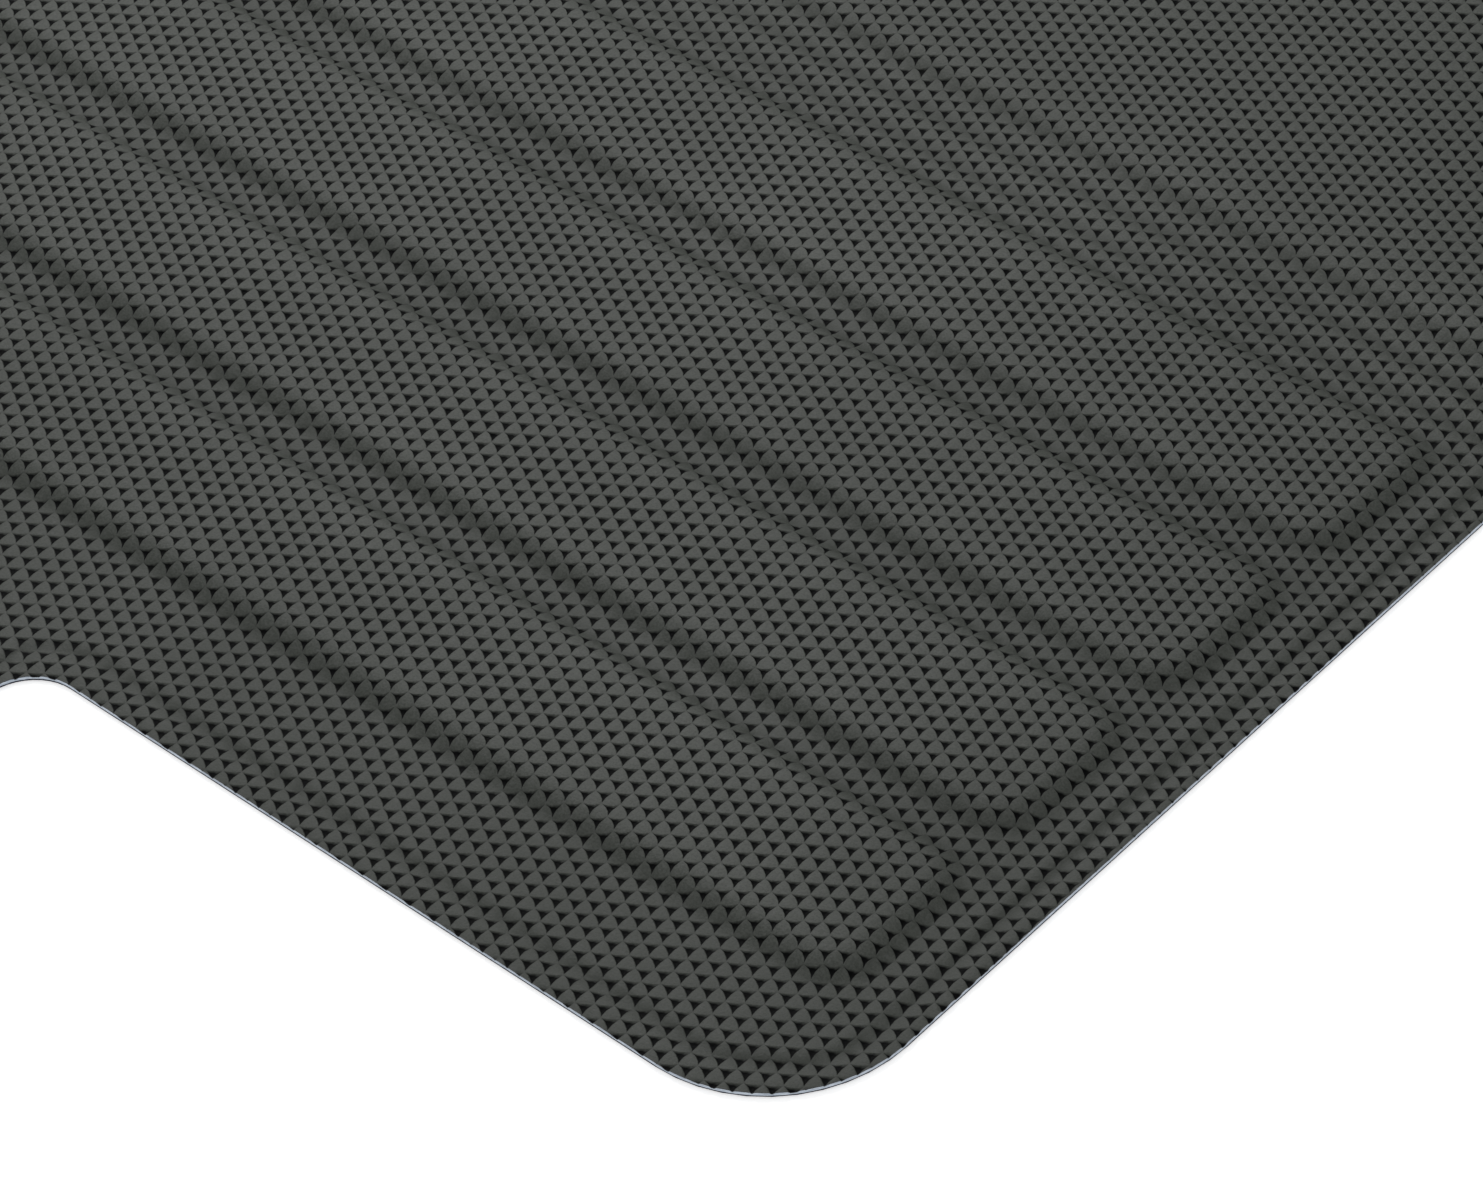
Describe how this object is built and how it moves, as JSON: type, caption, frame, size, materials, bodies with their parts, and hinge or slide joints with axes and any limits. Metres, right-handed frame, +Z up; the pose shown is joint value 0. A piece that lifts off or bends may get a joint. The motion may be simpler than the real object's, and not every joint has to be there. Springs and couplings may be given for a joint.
{
  "type": "chair mat",
  "caption": "Lipped office chair mat: thin embossed black vinyl sheet over soft raised cushion bars near the lip and one wide flat raised rolling area behind.",
  "frame": {"origin": "centre of the outline's bounding box, on the floor face", "axes": "+Z up from the floor, +Y from the lip towards the rear edge, +X to the right seen from the lip"},
  "size_m": [1.143, 1.346, 0.0037],
  "materials": {
    "wear_vinyl": "embossed matt",
    "base_vinyl": "fine matt grain",
    "edge_pvc": "satin",
    "foam": "closed-cell foam",
    "board_pvc": "satin"
  },
  "bodies": {
    "root": {"top_sheet": "wear_vinyl", "base_sheet": "base_vinyl", "edge_tape": "edge_pvc", "rolling_board": "board_pvc", "cushion_1": "foam", "cushion_2": "foam", "cushion_3": "foam", "cushion_4": "foam", "lip_cushion_1": "foam", "lip_cushion_2": "foam", "lip_cushion_3": "foam", "lip_cushion_4": "foam"}
  },
  "joints": []
}
